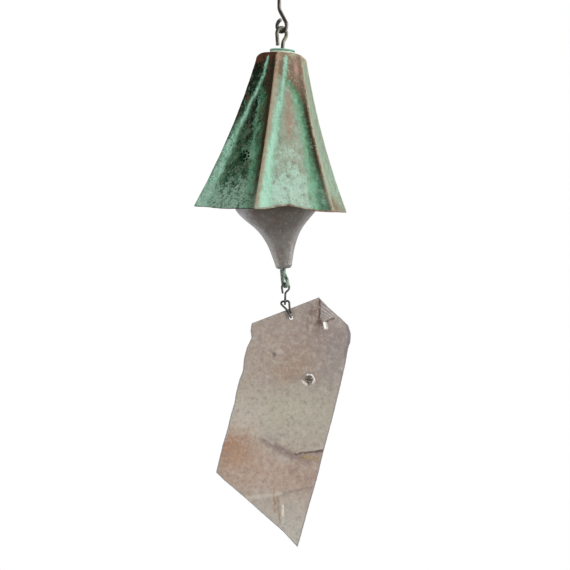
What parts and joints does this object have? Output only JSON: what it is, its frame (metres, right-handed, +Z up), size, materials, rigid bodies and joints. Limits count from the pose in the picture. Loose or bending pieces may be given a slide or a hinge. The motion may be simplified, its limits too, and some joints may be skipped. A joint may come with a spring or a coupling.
{
  "type": "wind bell",
  "caption": "Fluted hexagonal bronze bell on a wire hook, with a hollow trumpet-shaped clapper and a cast wind sail hung below it on wire links.",
  "frame": {"origin": "highest point of the inside of the top hook, where the hanger rests on the nail that holds it", "axes": "+Z up along the hanging line, +X to the right and -Y towards the viewer of the sail's front face"},
  "size_m": [0.132, 0.1329, 0.5186],
  "materials": {
    "hanger_wire": "dark oxidised bronze wire, rubbed grey on its right side",
    "bell_hook": "dark oxidised bronze wire with grey-tan rubbed sides",
    "crown_cap": "pale green verdigris on bronze with a dark upper edge",
    "bell_shell": "sand-cast bronze: bright verdigris in the flutes, dark green and brown panels, copper-coloured ridges",
    "inner_washer": "dull brown bronze",
    "clapper_wire": "dark bronze wire with a green bloom",
    "clapper": "turned cast bronze, grey with a warm brown mottle",
    "lower_hook": "near-black wire",
    "sail_link": "near-black wire, lighter on its right leg",
    "sail": "sand-cast bronze plate, warm grey with copper stains, a dark crease and pale green bloom"
  },
  "bodies": {
    "hanger": {"hanger_wire": "hanger_wire"},
    "hook": {"bell_hook": "bell_hook"},
    "bell": {"bell_shell": "bell_shell", "crown_cap": "crown_cap", "inner_washer": "inner_washer"},
    "clapper_wire": {"clapper_wire": "clapper_wire"},
    "clapper": {"clapper": "clapper"},
    "lower_hook": {"lower_hook": "lower_hook"},
    "link": {"sail_link": "sail_link"},
    "sail": {"sail": "sail"}
  },
  "joints": [
    {"name": "hook_swing", "type": "hinge", "parent": "hanger", "child": "hook", "pos_m": [0.00222, -0.00186, -0.07744], "axis": [0.766, -0.6428, 0], "range_deg": [-45, 45]},
    {"name": "bell_swivel", "type": "hinge", "parent": "hook", "child": "bell", "pos_m": [0.0025, -0.00064, -0.09626], "axis": [0.0628, 0, 0.998], "continuous": true},
    {"name": "clapper_swing", "type": "hinge", "parent": "hook", "child": "clapper_wire", "pos_m": [0.0012, -0.00064, -0.11677], "axis": [0.766, 0.6428, 0.0044], "range_deg": [-3.4, 7.2]},
    {"name": "clapper_spin", "type": "hinge", "parent": "clapper_wire", "child": "clapper", "pos_m": [0.00402, -0.00064, -0.27848], "axis": [-0.0915, 0, 0.9958], "continuous": true},
    {"name": "lower_hook_swing", "type": "hinge", "parent": "clapper_wire", "child": "lower_hook", "pos_m": [0.00541, -0.00064, -0.29359], "axis": [0.5443, -0.8387, -0.019], "range_deg": [-45, 45]},
    {"name": "link_swing", "type": "hinge", "parent": "lower_hook", "child": "link", "pos_m": [0.00496, -0.00064, -0.3066], "axis": [0.9945, 0, 0.1045], "range_deg": [-60, 60]},
    {"name": "sail_swing", "type": "hinge", "parent": "link", "child": "sail", "pos_m": [0.01013, 0.00136, -0.32011], "axis": [0, 1, 0], "range_deg": [-12, 40]}
  ]
}
